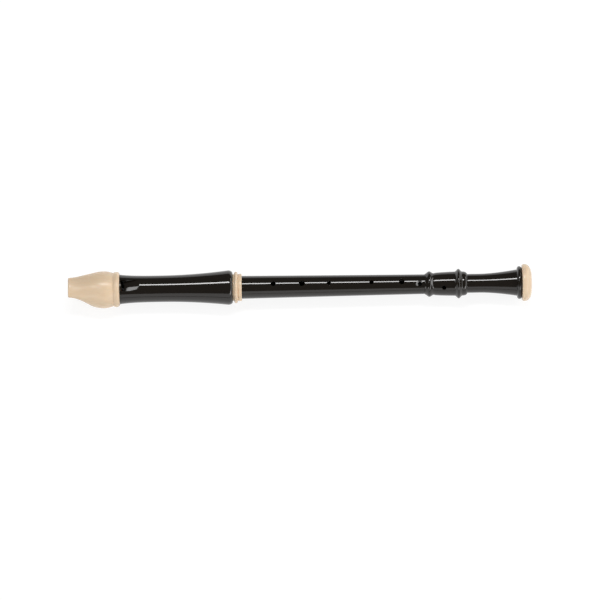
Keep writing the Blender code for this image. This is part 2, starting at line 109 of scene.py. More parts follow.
# finger, place from the top of the middle joint, diameter, turn towards the player's right hand
FINGER_HOLES = (
    ("first", 0.0420, 0.0065, 0.0),
    ("second", 0.0802, 0.0079, 0.0),
    ("third", 0.1164, 0.0056, 0.0),
    ("fourth", 0.1731, 0.0056, 0.0),
    ("fifth", 0.2135, 0.0072, 0.0),
    ("sixth", 0.2375, 0.0056, math.radians(14.0)),
)
DISHED = "sixth"  # the finger whose hole has a dished rim

# name, azimuth and elevation in degrees, distance, width, height, radiance
SOFTBOXES = (
    ("key_strip", 180.0, 71.0, 1.6, 1.15, 0.23, 17.0),
    ("front_card", 0.0, 17.0, 2.2, 3.6, 1.1, 1.0),
    ("ramp_box", -96.0, 61.0, 2.0, 0.58, 0.42, 5.5),
    ("left_box", -44.0, 20.0, 2.2, 0.9, 0.7, 4.0),
    ("right_box", 94.0, 26.0, 2.0, 3.4, 0.5, 4.2),
    ("front_right_box", 44.0, 20.0, 2.2, 0.9, 0.7, 4.0),
)


def size(name, description, default):
    """A length that the user can change."""
    return FloatProperty(name=name, description=description, default=default, unit="LENGTH", precision=4)


def curve(name, description, default):
    """The power of a flare: 1 is straight, and above 1 it steepens towards its end."""
    return FloatProperty(name=name, description=description, default=default, min=0.1, max=5.0)


def share_of_one(name, description, default):
    """A number from 0 to 1 that the user can change."""
    return FloatProperty(name=name, description=description, default=default, min=0.0, max=1.0)


def angle(name, description, degrees):
    """An angle that the user can change."""
    return FloatProperty(name=name, description=description, default=math.radians(degrees), subtype="ANGLE")


def tint(name, description, default):
    """A colour in linear light that the user can change."""
    return FloatVectorProperty(
        name=name, description=description, default=default, subtype="COLOR", size=3, min=0.0, max=1.0
    )


class RECORDER_PG_surface(bpy.types.PropertyGroup):
    """How finely the pieces are turned, and how their edges are eased."""

    segments: IntProperty(
        name="Segments", description="Sides of every turned piece", default=180, min=36, max=360
    )
    edge: size("Edge", "Radius of the eased edges of the turned pieces", 0.00025)
    rim: size("Hole rim", "Radius of the eased rim of a finger hole", 0.00012)


class RECORDER_PG_beak(bpy.types.PropertyGroup):
    """Sizes of the beak, the block and the windway."""

    tip_half_width: size("Tip half width", "Half width of the beak at its tip", 0.0137)
    tip_top: size("Tip top", "Height of the top of the tip over the axis", 0.0176)
    tip_underside: size("Tip underside", "Height of the underside of the tip over the axis", 0.0062)
    tip_rounding: size("Tip rounding", "Radius of the rounded edge of the tip", 0.0014)
    crest: size("Crest place", "From the tip to the thickest place of the beak", 0.0470)
    crest_radius: size("Crest radius", "Radius of the thickest place of the beak", 0.0248)
    cut_length: size("Cut length", "From the tip to the end of the scoop under the lips", 0.0330)
    cut_curve: curve("Cut curve", "Power of the scoop under the lips", 2.0)
    cut_blend: size("Cut blend", "Height over which the scoop runs into the round underside", 0.0060)
    back_curve: curve("Back curve", "Power of the fall from the crest to the bead", 2.0)
    groove_radius: size("Groove radius", "Radius where the bead starts", 0.0222)
    bead_length: size("Bead length", "Length of the bead at the end of the beak", 0.0084)
    bead_radius: size("Bead radius", "Radius of the crest of the bead", 0.0236)
    end_radius: size("End radius", "Radius where the beak meets the black tube", 0.0202)
    windway_width: size("Windway width", "Width of the windway", 0.0144)
    windway_height: size("Windway height", "Height of the windway", 0.0014)
    windway_drop: size("Windway drop", "How far the floor of the windway lies inside the bore", 0.0007)


class RECORDER_PG_head(bpy.types.PropertyGroup):
    """Sizes of the black tube of the head, its window and its ring."""

    bore: size("Bore radius", "Radius of the bore of the head", 0.0120)
    spigot_radius: size("Spigot radius", "Radius of the spigot inside the beak", 0.0170)
    neck_radius: size("Neck radius", "Radius of the tube next to the beak", 0.0199)
    neck_curve: curve("Neck curve", "Power of the flare from the waist back to the neck", 3.4)
    waist: size("Waist place", "From the tip of the beak to the narrowest place of the head", 0.1250)
    waist_radius: size("Waist radius", "Radius of the narrowest place of the head", 0.0178)
    swell_radius: size("Swell radius", "Radius of the swell before the ring", 0.0232)
    swell_curve: curve("Swell curve", "Power of the flare from the waist on to the swell", 1.95)
    swell_rounding: size("Swell rounding", "Length of the rounded end of the swell", 0.0060)
    swell_foot: size("Swell foot", "Radius of the tube next to the ring", 0.0192)
    window: size("Window place", "From the tip of the beak to the window", 0.0700)
    window_length: size("Window length", "Length of the window along the bore", 0.0050)
    window_width: size("Window width", "Width of the window and of the ramp", 0.0150)
    ramp_length: size("Ramp length", "Length of the ramp behind the window", 0.0205)
    ramp_arch: size("Ramp arch", "Radius of the arch of the ramp", 0.0400)
    labium: size("Labium thickness", "Thickness of the edge at the window", 0.0005)
    sleeve_wall: size("Sleeve wall", "Wall of the socket under the ring", 0.0021)
    ring_start_radius: size("Ring start", "Radius of the margin of the ring", 0.0179)
    ring_bead_offset: size("Ring margin", "Length of the margin before the bead of the ring", 0.0016)
    ring_bead_length: size("Ring bead length", "Length of the bead of the ring", 0.0052)
    ring_crest: size("Ring crest", "Radius of the crest of the ring", 0.0212)
    ring_groove: size("Ring groove", "Radius of the groove behind the bead of the ring", 0.0176)
    ring_groove_length: size("Ring groove length", "Length of the floor of that groove", 0.0007)
    ring_band: size("Ring band", "Radius of the plain band of the ring", 0.0184)
    ring_chamfer: size("Ring chamfer", "Chamfer of the plain band", 0.0007)
    ring_lip: size("Ring lip", "Length of the lip over the end of the sleeve", 0.0018)


class RECORDER_PG_middle(bpy.types.PropertyGroup):
    """Sizes of the middle joint, its tenons and its holes."""

    top_radius: size("Top radius", "Radius of the tube next to the head", 0.0154)
    end_radius: size("End radius", "Radius of the tube next to the foot", 0.0132)
    taper: curve("Taper curve", "Power of the taper of the tube", 1.1)
    bore_top: size("Top bore", "Radius of the bore at the upper tenon", 0.0116)
    bore_end: size("End bore", "Radius of the bore at the lower tenon", 0.0082)
    upper_tenon: size("Upper tenon", "Radius of the tenon in the head", 0.0142)
    lower_tenon: size("Lower tenon", "Radius of the tenon in the foot", 0.0113)
    tenon_chamfer: size("Tenon chamfer", "Chamfer of the free end of a tenon", 0.0008)
    groove_count: IntProperty(name="Grooves", description="Grease grooves on a tenon", default=3, min=0)
    groove_width: size("Groove width", "Width of a grease groove", 0.0016)
    groove_depth: size("Groove depth", "Depth of a grease groove", 0.0005)
    groove_pitch: size("Groove pitch", "From one grease groove to the next", 0.0042)
    thumb_hole: size("Thumb hole place", "From the top of the joint to the thumb hole", 0.0282)
    thumb_diameter: size("Thumb hole", "Diameter of the thumb hole", 0.0075)
    dish_radius: size("Dish radius", "Radius of the dished rim of the sixth finger hole", 0.0052)
    dish_depth: size("Dish depth", "Depth of that dish", 0.0015)


class RECORDER_PG_foot(bpy.types.PropertyGroup):
    """Sizes of the foot joint and of its ring."""

    mouth_radius: size("Mouth radius", "Radius of the mouth of the foot", 0.0138)
    bead_length: size("Bead length", "Length of the bead at the mouth", 0.0124)
    bead_radius: size("Bead radius", "Radius of the crest of that bead", 0.0172)
    bulge_start: size("Bulge start", "Radius where the bulge starts", 0.0146)
    bulge_end: size("Bulge end", "Radius where the bulge ends", 0.0163)
    bulge_length: size("Bulge length", "Length of the bulge round the socket", 0.0276)
    bulge_curve: curve("Bulge curve", "Power of the rise of the bulge", 0.45)
    collar_length: size("Collar length", "Length of the collar", 0.0105)
    collar_radius: size("Collar radius", "Radius of the crest of the collar", 0.0200)
    shoulder_length: size("Shoulder length", "Length of the shoulder behind the collar", 0.0008)
    shoulder_radius: size("Shoulder radius", "Radius of the shoulder", 0.0162)
    shoulder_rounding: size("Shoulder rounding", "Length of the rounded end of the shoulder", 0.0056)
    waist: size("Waist place", "From the mouth of the foot to the start of the bell", 0.0740)
    waist_radius: size("Waist radius", "Radius of the narrow part of the foot", 0.0127)
    bell_radius: size("Bell radius", "Radius of the end of the bell", 0.0177)
    bell_curve: curve("Bell curve", "Power of the flare of the bell", 1.65)
    last_bead_length: size("Last bead length", "Length of the bead next to the ring", 0.0070)
    last_bead_radius: size("Last bead radius", "Radius of the crest of that bead", 0.0222)
    bore: size("Bore radius", "Radius of the bore before the bell opens", 0.0072)
    bell_bore: size("Bell bore", "Radius of the bore at the end", 0.0096)
    bell_bore_length: size("Bell bore length", "Length over which the bore opens", 0.0260)
    spigot_radius: size("Spigot radius", "Radius of the spigot inside the ring", 0.0150)
    hole: size("Hole place", "From the mouth of the foot to the little finger's hole", 0.0256)
    hole_diameter: size("Hole", "Diameter of the little finger's hole", 0.0060)
    turn: angle("Turn", "How far the foot is turned towards the player's right hand", 37.0)
    ring_start: size("Ring start", "Radius where the ring starts", 0.0236)
    ring_radius: size("Ring radius", "Radius of the widest place of the ring", 0.0248)
    ring_crest: size("Ring crest", "From the start of the ring to its widest place", 0.0040)
    face_radius: size("Face radius", "Radius of the flat face round the bore", 0.0120)
    ring_lip: size("Ring lip", "Length of the lip over the end of the spigot", 0.0036)


class RECORDER_PG_finish(bpy.types.PropertyGroup):
    """Colours and gloss of the two plastics."""

    black: tint("Black", "Colour of the black plastic", (0.0092, 0.0070, 0.0050))
    rubbed_black: tint("Rubbed black", "Colour of the black where it is rubbed", (0.020, 0.016, 0.012))
    ivory: tint("Ivory", "Colour of the ivory plastic", (0.762, 0.588, 0.410))
    deep_ivory: tint("Deep ivory", "Colour of the darker veins in the ivory", (0.660, 0.490, 0.325))
    pale_ivory: tint("Pale ivory", "Colour of the eased edges of the ivory", (0.850, 0.700, 0.530))
    black_roughness: share_of_one("Black roughness", "Roughness of the polished black plastic", 0.06)
    ivory_roughness: share_of_one("Ivory roughness", "Roughness of the ivory plastic", 0.26)


class RECORDER_PG_studio(bpy.types.PropertyGroup):
    """Camera, lamps and floor."""

    elevation: angle("Elevation", "Angle of the view over the floor", 73.0)
    roll: angle("Roll", "Lean of the camera", -1.0)
    distance: size("Distance", "From the camera to the instrument", 5.5)
    view_width: size("View width", "Width of the picture at the instrument", 0.8017)
    view_drop: size("View drop", "How far the middle of the picture lies below the instrument", 0.01825)
    view_shift: size("View shift", "How far the middle of the picture lies towards the beak", 0.00025)
    floor_size: size("Floor size", "Side of the floor", 16.0)
    floor_colour: tint("Floor colour", "Colour of the floor as it throws light back", (0.9, 0.9, 0.9))
    seen_colour: tint("Seen floor", "Colour of the floor where it is seen or mirrored", (0.2, 0.2, 0.2))
    floor_glow: share_of_one("Floor glow", "Light of the floor where it is seen or mirrored", 0.86)
    room_colour: tint("Room colour", "Colour of the dim room that lights the instrument", (0.1, 0.1, 0.1))


class Value:
    """An output of a node that takes part in Python expressions. Each operator adds a Math node."""

    def __init__(self, graph, socket):
        self.graph = graph
        self.socket = socket

    def math(self, operation, *others, clamp=False):
        """The result of a Math node with this value first."""
        inputs = dict(enumerate((self, *others)))
        return self.graph.node("ShaderNodeMath", {"operation": operation, "use_clamp": clamp}, inputs)

    def __add__(self, other):
        return self.math("ADD", other)

    __radd__ = __add__

    def __mul__(self, other):
        return self.math("MULTIPLY", other)

    __rmul__ = __mul__

    def __sub__(self, other):
        return self.math("SUBTRACT", other)

    def __rsub__(self, other):
        return (self * -1.0) + other

    def __truediv__(self, other):
        return self.math("DIVIDE", other)

    def __abs__(self):
        return self.math("ABSOLUTE")

    def floor(self):
        return self.math("FLOOR")

    def clamped(self):
        return self.math("ADD", 0.0, clamp=True)

    def ramp(self, low, high):
        """0 up to low, 1 from high on, and a smooth rise between them."""
        inputs = {"Value": self, "From Min": low, "From Max": high}
        return self.graph.node("ShaderNodeMapRange", {"interpolation_type": "SMOOTHSTEP"}, inputs)


class Graph:
    """A node tree that is written as expressions."""

    def __init__(self, tree):
        self.tree = tree

    def plug(self, socket, value):
        """Links a value to a socket, or sets the socket."""
        if isinstance(value, Value):
            self.tree.links.new(value.socket, socket)
        elif value is not None:
            socket.default_value = value

    def node(self, kind, settings=None, inputs=None, output=0):
        """Adds a node of any type, with its settings first and then its sockets, and returns an output."""
        made = self.tree.nodes.new(kind)
        for name, value in (settings or {}).items():
            setattr(made, name, value)
        for key, value in (inputs or {}).items():
            self.plug(made.inputs[key], value)
        return Value(self, made.outputs[output])

    def mix(self, share, first, second):
        """A colour between two colours."""
        inputs = {"Factor": share, MIX_COLOURS[0]: first, MIX_COLOURS[1]: second}
        settings = {"data_type": "RGBA", "clamp_factor": True}
        return self.node("ShaderNodeMix", settings, inputs, output=MIXED_COLOUR)

    def component(self, vector, axis):
        return self.node("ShaderNodeSeparateXYZ", None, {"Vector": vector}, output=axis)

    def vector(self, x, y, z):
        return self.node("ShaderNodeCombineXYZ", None, {"X": x, "Y": y, "Z": z})

    def is_ray(self, *kinds):
        """1 for rays of these kinds and 0 for all others."""
        rays = [self.node("ShaderNodeLightPath", output=f"Is {kind} Ray") for kind in kinds]
        return sum(rays[1:], rays[0]).clamped()

    def noise(self, place, scale, detail=2.0, roughness=0.5, distortion=0.0):
        inputs = {"Vector": place, "Scale": scale, "Detail": detail, "Roughness": roughness}
        return self.node("ShaderNodeTexNoise", {"normalize": True}, {**inputs, "Distortion": distortion})


class Finish(Graph):
    """A material on the shared body coordinates, whose outputs end in one Principled shader."""

    def __init__(self, name, colour, **uniform):
        self.material = bpy.data.materials.new(name)
        self.material.use_nodes = True
        self.material.diffuse_color = (*colour, 1.0)
        super().__init__(self.material.node_tree)
        self.shader = self.tree.nodes["Principled BSDF"]
        for socket, value in uniform.items():
            self.shader.inputs[socket.replace("_", " ")].default_value = value
        self.place = self.node("ShaderNodeTexCoord", output="Object")

    def stretched(self, along, across, turn=0.0):
        """Object coordinates scaled along the bore and across it, turned about the bore."""
        inputs = {"Vector": self.place, "Scale": (along, across, across), "Rotation": (turn, 0.0, 0.0)}
        return self.node("ShaderNodeMapping", {"vector_type": "POINT"}, inputs)

    def attribute(self, name):
        return self.node("ShaderNodeAttribute", {"attribute_name": name}, output="Fac")

    def bump(self, height, distance, normal=None):
        """A normal raised by a height of 0 to 1 times the distance."""
        inputs = {"Height": height, "Distance": distance, "Strength": 1.0, "Normal": normal}
        return self.node("ShaderNodeBump", None, inputs)

    def surface(self, **inputs):
        for socket, value in inputs.items():
            self.plug(self.shader.inputs[socket.replace("_", " ")], value)
        return self.material


def black_plastic(finish):
    """Polished black plastic: faint clouding, hairlines from handling and a trace of orange peel."""
    graph = Finish("black_plastic", finish.black, IOR=1.53, Specular_IOR_Level=0.5)
    cloud = graph.noise(graph.place, scale=26.0, detail=3.0)
    smudge = graph.noise(graph.place, scale=60.0, detail=5.0, roughness=0.6, distortion=1.2)
    smudge = smudge.ramp(low=0.52, high=0.78)
    lengthwise = graph.noise(graph.stretched(along=14.0, across=900.0), scale=1.0).ramp(low=0.62, high=0.76)
    round_about = graph.stretched(along=1500.0, across=22.0, turn=0.6)
    round_about = graph.noise(round_about, scale=1.0).ramp(low=0.63, high=0.76)
    hairlines = (lengthwise * 0.6 + round_about * 0.5).clamped()
    edge = graph.attribute("edge")
    rubbed = (edge * 0.7 + smudge * 0.15 + cloud * 0.18 - 0.05).clamped()
    colour = graph.mix(rubbed, (*finish.black, 1.0), (*finish.rubbed_black, 1.0))
    dulled = (cloud - 0.5) * 0.02 + smudge * 0.03 + hairlines * 0.04 + edge * 0.04
    peel = graph.bump(graph.noise(graph.place, scale=160.0, detail=1.0), distance=0.0000015)
    scratched = graph.bump(hairlines, distance=0.0000006, normal=peel)
    return graph.surface(Base_Color=colour, Roughness=dulled + finish.black_roughness, Normal=scratched)


def ivory_plastic(finish):
    """Imitation ivory: fine lengthwise veins over soft clouds, a satin gloss and paler eased edges."""
    light_inside = {
        "Subsurface_Weight": 0.12,
        "Subsurface_Radius": (1.0, 0.62, 0.36),
        "Subsurface_Scale": 0.0015,
    }
    graph = Finish("ivory_plastic", finish.ivory, IOR=1.5, Specular_IOR_Level=0.35, **light_inside)
    drift = graph.stretched(along=18.0, across=70.0)
    drift = graph.noise(drift, scale=1.0, detail=3.0, distortion=0.8)
    fine = graph.stretched(along=40.0, across=900.0)
    fine = graph.noise(fine, scale=1.0, detail=3.0, roughness=0.6, distortion=0.5)
    veins = fine.ramp(low=0.50, high=0.72) * drift.ramp(low=0.35, high=0.70)
    deep = (*finish.deep_ivory, 1.0)
    colour = graph.mix(veins * 0.18 + drift * 0.16, (*finish.ivory, 1.0), deep)
    edge = graph.attribute("edge")
    colour = graph.mix(edge * 0.35, colour, (*finish.pale_ivory, 1.0))
    speck = graph.noise(graph.place, scale=2600.0, detail=1.0).ramp(low=0.70, high=0.80)
    colour = graph.mix(speck * 0.25, colour, deep)
    roughness = (drift - 0.5) * 0.12 + veins * 0.05 - edge * 0.05 + finish.ivory_roughness
    grain = graph.bump(fine, distance=0.000002)
    peel = graph.bump(graph.noise(graph.place, scale=500.0, detail=1.0), distance=0.000008, normal=grain)
    return graph.surface(Base_Color=colour, Roughness=roughness, Normal=peel)


def material(name, make):
    """The material of that name, made the first time it is asked for."""
    return bpy.data.materials.get(name) or make(bpy.context.scene.recorder_finish)


def black():
    return material("black_plastic", black_plastic)


def ivory():
    return material("ivory_plastic", ivory_plastic)


def between(a, b, share):
    return a + (b - a) * share


def shares(steps):
    """Even steps from 0 to 1."""
    return [step / steps for step in range(steps + 1)]


def ease(share):
    """Raised cosine from 0 to 1, level at both ends."""
    return (1 - math.cos(math.pi * share)) / 2


def bead(start, end, start_radius, end_radius, crest, steps=20):
    """Half round from start to end that rises to the crest."""
    points = []
    for share in shares(steps):
        base = between(start_radius, end_radius, share)
        points.append((between(start, end, ease(share)), between(base, crest, math.sin(math.pi * share))))
    return points


def ridge(start, end, start_radius, end_radius, crest, steps=28):
    """A soft ridge that rises to the crest and falls as a raised cosine."""
    points = []
    for share in shares(steps):
        base = between(start_radius, end_radius, share)
        points.append((between(start, end, share), between(base, crest, ease(2 * share))))
    return points


def flare(start, start_radius, end, end_radius, power, steps=28):
    """A run whose radius changes with a power of the way along it."""
    points = []
    for share in shares(steps):
        points.append((between(start, end, share), between(start_radius, end_radius, share**power)))
    return points


def quarter_round(start, start_radius, end, end_radius, steps=10):
    """A convex quarter round that starts level and ends square to the axis."""
    points = []
    for share in shares(steps):
        turn = QUARTER_TURN * share
        radius = between(end_radius, start_radius, math.cos(turn))
        points.append((between(start, end, math.sin(turn)), radius))
    return points


def straight(start, end, radius, steps):
    """A plain cylinder in short steps, for a surface that is worked further."""
    return [(between(start, end, share), radius) for share in shares(steps)]


def eased(points, radius, closed=True, side_share=0.4, steps=4):
    """The outline with its corners rounded, as points and how much each one is an edge.

    A rounded corner takes no more than side_share of the shorter side next to it.
    """
    kept = []
    for point in map(Vector, points):
        if not kept or (point - kept[-1]).length > SAME_POINT:
            kept.append(point)
    if closed and (kept[0] - kept[-1]).length <= SAME_POINT:
        kept.pop()
    result = []
    for i, corner in enumerate(kept):
        before = kept[i - 1] - corner
        after = kept[(i + 1) % len(kept)] - corner
        turn = math.pi - before.angle(after)
        if turn < LEAST_CORNER or (not closed and i in (0, len(kept) - 1)):
            result.append((*corner, 0.0))
            continue
        room = side_share * min(before.length, after.length)
        setback = min(radius * math.tan(turn / 2), room)
        hold = setback + min(radius / 2, room / 4)  # a narrow flat strip beside the rounding
        before.normalize()
        after.normalize()
        result.append((*(corner + before * hold), 0.0))
        for share in shares(steps):
            first = corner + before * setback * (1 - share)
            second = corner + after * setback * share
            result.append((*first.lerp(second, share), 1.0))
        result.append((*(corner + after * hold), 0.0))
    if closed:
        result.append(result[0])
    return result


def geometry_tree(name, kinds, write):
    """The geometry node tree of that name. The first time it is asked for, write adds its nodes.

    Its inputs are a geometry, those of the kinds given, the height of the axis and a material. After
    the nodes that write adds, instances are made real and the material is set.
    """
    if name in bpy.data.node_groups:
        return bpy.data.node_groups[name]
    tree = bpy.data.node_groups.new(name, "GeometryNodeTree")
    tree.interface.new_socket(name="Geometry", in_out="OUTPUT", socket_type="NodeSocketGeometry")
    kinds = {"Geometry": "Geometry", **kinds, "Axis Height": "Float", "Material": "Material"}
    for label, kind in kinds.items():
        tree.interface.new_socket(name=label, in_out="INPUT", socket_type=f"NodeSocket{kind}")
    start = tree.nodes.new("NodeGroupInput")
    graph = Graph(tree)
    value = {socket.name: Value(graph, socket) for socket in start.outputs if socket.name}
    real = graph.node("GeometryNodeRealizeInstances", None, {"Geometry": write(graph, value)})
    inputs = {"Geometry": real, "Material": value["Material"]}
    dressed = graph.node("GeometryNodeSetMaterial", None, inputs)
    end = tree.nodes.new("NodeGroupOutput")
    graph.plug(end.inputs["Geometry"], dressed)
    return tree


def turn_outline(graph, value):
    """Turns an outline round the bore: each row of a grid takes the place of one point of the outline."""
    outline = value["Geometry"]
    columns = value["Segments"] + 1
    rows = graph.node("GeometryNodeAttributeDomainSize", None, {"Geometry": outline})
    grid = graph.node("GeometryNodeMeshGrid", None, {"Vertices X": rows, "Vertices Y": columns})
    index = graph.node("GeometryNodeInputIndex")
    row = (index / columns).floor()
    column = index - row * columns

    def of_row(kind, field):
        """A field of the outline, read at the point that belongs to the row."""
        inputs = {"Geometry": outline, "Value": field, "Index": row}
        return graph.node("GeometryNodeSampleIndex", {"data_type": kind}, inputs)

    point = of_row("FLOAT_VECTOR", graph.node("GeometryNodeInputPosition"))
    radius = graph.component(point, "Z")
    turn = column / value["Segments"] * FULL_TURN
    height = value["Axis Height"] - radius * turn.math("COSINE")
    place = graph.vector(graph.component(point, "X"), radius * turn.math("SINE"), height)
    turned = graph.node("GeometryNodeSetPosition", None, {"Geometry": grid, "Position": place})
    edge = graph.node("GeometryNodeInputNamedAttribute", {"data_type": "FLOAT"}, {"Name": "edge"})
    inputs = {"Geometry": turned, "Name": "edge", "Value": of_row("FLOAT", edge)}
    marked = graph.node("GeometryNodeStoreNamedAttribute", {"data_type": "FLOAT"}, inputs)
    joined = graph.node("GeometryNodeMergeByDistance", None, {"Geometry": marked, "Distance": WELD})
    return graph.node("GeometryNodeSetShadeSmooth", None, {"Geometry": joined})


def sink_grooves(graph, value):
    """Sinks a row of grease grooves round a tenon, at an even pitch about its centre."""
    position = graph.node("GeometryNodeInputPosition")
    along = graph.component(position, "X") - value["Centre"]
    across = graph.component(position, "Y")
    rise = graph.component(position, "Z") - value["Axis Height"]
    radius = (across * across + rise * rise).math("SQRT")
    outermost = (value["Count"] - 1) / 2
    nearest = (along / value["Pitch"] + outermost).math("ROUND")
    nearest = nearest.math("MAXIMUM", 0.0).math("MINIMUM", outermost * 2)
    distance = abs(along - (nearest - outermost) * value["Pitch"])
    half = value["Width"] / 2
    wall = value["Width"] / 8  # half the length over which the side of a groove slopes
    inside = 1 - distance.ramp(half - wall, half + wall)
    outer = radius.math("GREATER_THAN", value["Tenon Radius"] - value["Depth"] / 2)
    sink = inside * outer * value["Depth"] / radius
    offset = graph.vector(0.0, across * sink * -1, rise * sink * -1)
    return graph.node("GeometryNodeSetPosition", None, {"Geometry": value["Geometry"], "Offset": offset})


def lathe_tree():
    """The tree that turns an outline."""
    return geometry_tree("Turned Outline", {"Segments": "Int"}, turn_outline)


def groove_tree():
    """The tree that sinks grease grooves."""
    kinds = {"Centre": "Float", "Count": "Int", "Pitch": "Float", "Width": "Float", "Depth": "Float"}
    return geometry_tree("Grease Grooves", {**kinds, "Tenon Radius": "Float"}, sink_grooves)


def add_nodes(piece, tree, values):
    """Adds a geometry nodes modifier with its inputs set by their identifiers."""
    modifier = piece.modifiers.new(tree.name, "NODES")
    modifier.node_group = tree
    for item in tree.interface.items_tree:
        if item.in_out == "INPUT" and item.name in values:
            modifier[item.identifier] = values[item.name]


def new_object(name, data):
    made = bpy.data.objects.new(name, data)
    bpy.context.scene.collection.objects.link(made)
    return made


def settled(piece):
    """The piece's mesh with every modifier worked in. The object itself is removed."""
    bpy.context.view_layer.update()
    graph = bpy.context.evaluated_depsgraph_get()
    mesh = bpy.data.meshes.new_from_object(piece.evaluated_get(graph))
    bpy.data.objects.remove(piece)
    return mesh


def facing_out(mesh):
    """Turns every face of a closed mesh outwards."""
    bm = bmesh.new()
    bm.from_mesh(mesh)
    bmesh.ops.recalc_face_normals(bm, faces=bm.faces)
    bm.to_mesh(mesh)
    bm.free()
    return mesh


def turned(name, outline, plastic, grooves=()):
    """A piece turned from a closed outline of places and radii, with its edges eased."""
    surface = bpy.context.scene.recorder_surface
    rows = eased(outline, surface.edge)
    mesh = bpy.data.meshes.new(name)
    points = [(x, 0.0, radius * ROUND_SHARE) for x, radius, edge in rows]
    mesh.from_pydata(points, [(i, i + 1) for i in range(len(points) - 1)], [])
    edges = mesh.attributes.new("edge", "FLOAT", "POINT")
    edges.data.foreach_set("value", [edge for x, radius, edge in rows])
    piece = new_object(name, mesh)
    shared = {"Axis Height": AXIS_HEIGHT, "Material": plastic}
    add_nodes(piece, lathe_tree(), {**shared, "Segments": surface.segments})
    for groove in grooves:
        add_nodes(piece, groove_tree(), {**shared, **groove})
    result = facing_out(settled(piece))
    one_material(result, [plastic])
    return result


def skinned(name, rings, plastic=None):
    """A closed mesh through rings of points, with a face over each end."""
    bm = bmesh.new()
    rows = [[bm.verts.new(point) for point in ring] for ring in rings]
    for before, after in zip(rows, rows[1:]):
        for i in range(len(before)):
            bm.faces.new((before[i - 1], before[i], after[i], after[i - 1]))
    bm.faces.new(rows[0])
    bm.faces.new(rows[-1])
    bmesh.ops.recalc_face_normals(bm, faces=bm.faces)
    mesh = bpy.data.meshes.new(name)
    bm.to_mesh(mesh)
    bm.free()
    mesh.shade_smooth()
    if plastic:
        mesh.materials.append(plastic)
    return mesh


def one_material(mesh, materials):
    """Gives every face of the mesh the only material among the slots, some of which may be empty."""
    plastics = [plastic for plastic in materials if plastic]
    mesh.materials.clear()
    for plastic in plastics[:1]:
        mesh.materials.append(plastic)
    mesh.polygons.foreach_set("material_index", [0] * len(mesh.polygons))


def cut(mesh, tools, operation="DIFFERENCE"):
    """The mesh after one Boolean with each tool mesh, still smooth wherever its old surface is left."""
    piece = new_object("work", mesh.copy())
    helpers = []
    for tool in tools:
        helper = new_object("tool", tool)
        helpers.append(helper)
        modifier = piece.modifiers.new("cut", "BOOLEAN")
        modifier.operation = operation
        modifier.object = helper
        modifier.solver = "EXACT"
    result = settled(piece)
    for helper in helpers:
        bpy.data.objects.remove(helper)
    one_material(result, mesh.materials)
    result.shade_smooth()
    result.set_sharp_from_angle(angle=SHARP)
    return result


def keep_smooth(mesh, shell):
    """Gives a cut mesh the normals of its uncut shell wherever it still lies on that shell."""
    places = [vertex.co.copy() for vertex in shell.vertices]
    facings = [vertex.normal.copy() for vertex in shell.vertices]
    faces = [tuple(face.vertices) for face in shell.polygons]
    tree = BVHTree.FromPolygons(places, faces)
    normals = [corner.vector.copy() for corner in mesh.corner_normals]
    for face in mesh.polygons:
        spot, facing, index, distance = tree.find_nearest(face.center)
        if distance > ON_SURFACE or face.normal.dot(facing) < SAME_PLANE:
            continue
        for corner in face.loop_indices:
            place = mesh.vertices[mesh.loops[corner].vertex_index].co
            spot, facing, index, distance = tree.find_nearest(place)
            corners = faces[index]
            weights = poly_3d_calc([places[i] for i in corners], spot)
            normals[corner] = sum((facings[i] * weight for i, weight in zip(corners, weights)), Vector())
    mesh.normals_split_custom_set(normals)
    return mesh


def show(name, mesh, body):
    """Puts a finished mesh in the scene as the piece that stands for the node of its name."""
    mesh.name = name
    piece = new_object(f"{name}_surface", mesh)
    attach(piece, body)
    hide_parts(name)


def oval(x, half_width, half_height, centre, sides, first=0.0):
    """Points round an oval across the bore, whose centre is a height over the axis."""
    points = []
    for index in range(sides):
        turn = FULL_TURN * (index + first) / sides
        across = half_width * math.sin(turn)
        points.append((x, across, AXIS_HEIGHT + centre + half_height * math.cos(turn)))
    return points


def bar(radius, start, end):
    """A round bar along the bore, half a side out of step with the turned pieces."""
    sides = bpy.context.scene.recorder_surface.segments
    return skinned("bar", [oval(x, radius, radius, 0.0, sides, first=0.5) for x in (start, end)])


def arched_bar(start, end, width, lower, upper, lower_arch, upper_arch, steps=16):
    """A bar with an arched floor and roof, whose heights over the axis are given for both ends."""
    half = width / 2
    rings = []
    for x, floor, roof in zip((start, end), lower, upper):
        points = []
        for arch, height, edge in ((lower_arch, floor, half), (upper_arch, roof, -half)):
            for share in shares(steps):
                across = between(-edge, edge, share)
                sag = arch - math.sqrt(arch**2 - across**2)
                points.append((x, across, AXIS_HEIGHT + height - sag))
        rings.append(points)
    return skinned("arched_bar", rings)


def windway(beak, head):
    """The slot for the breath, from the tip of the beak into the window."""
    floor = head.bore - beak.windway_drop
    roof = floor + beak.windway_height
    end = TIP_X + head.window + head.window_length / 2
    start = TIP_X - head.bore
    return arched_bar(start, end, beak.windway_width, (floor, floor), (roof, roof), floor, roof)


def beak_section(beak, station):
    """Half width, top and underside of the beak at a distance from its tip."""
    rise = ease(min(station / beak.crest, 1))
    side = between(beak.tip_half_width, beak.crest_radius, rise)
    top = between(beak.tip_top, beak.crest_radius, rise)
    cut_share = station / beak.cut_length
    scoop = between(beak.tip_underside, -beak.crest_radius, cut_share**beak.cut_curve)
    overlap = max(beak.cut_blend - abs(scoop + side), 0) / beak.cut_blend
    underside = max(scoop, -side) + overlap**2 * beak.cut_blend / 4
    return side, top, underside


